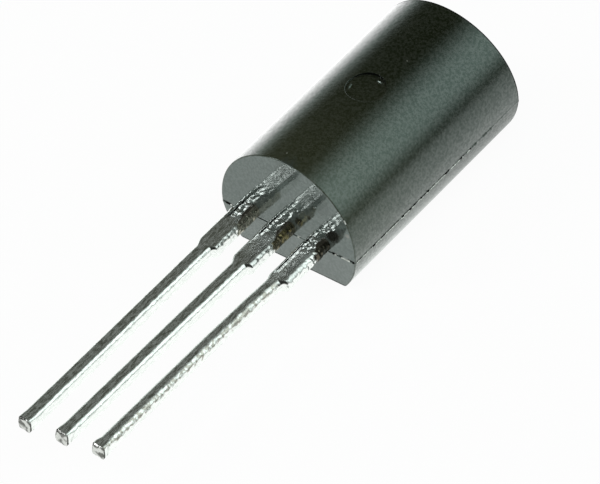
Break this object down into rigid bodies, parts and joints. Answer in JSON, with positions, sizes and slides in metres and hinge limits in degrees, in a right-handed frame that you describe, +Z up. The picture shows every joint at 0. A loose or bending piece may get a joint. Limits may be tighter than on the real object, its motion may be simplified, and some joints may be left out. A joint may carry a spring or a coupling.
{
  "type": "through-hole transistor in a long D-shaped moulded package",
  "caption": "Small through-hole transistor: black epoxy body with a round back and a flat front, on a row of straight tinned leads with wider shoulders next to the body",
  "frame": {"origin": "on the flat front face, at mid-length of the body and in line with the centre lead", "axes": "+X across the row of leads to the right lead, +Y from the leads to the body's far end, +Z up through the round back; the part lies on its flat front face at Z = 0"},
  "size_m": [0.0048, 0.0182, 0.0039],
  "materials": {
    "epoxy": "polished mould finish, black",
    "tinned_lead": "dull hot-dipped tin",
    "solder": "dull solder",
    "silicon": "polished silicon",
    "gold": "bright drawn gold"
  },
  "bodies": {
    "root": {"body": "epoxy", "left_lead": "tinned_lead", "centre_lead": "tinned_lead", "right_lead": "tinned_lead", "die_solder": "solder", "die": "silicon", "left_bond_wire": "gold", "right_bond_wire": "gold"}
  },
  "joints": []
}
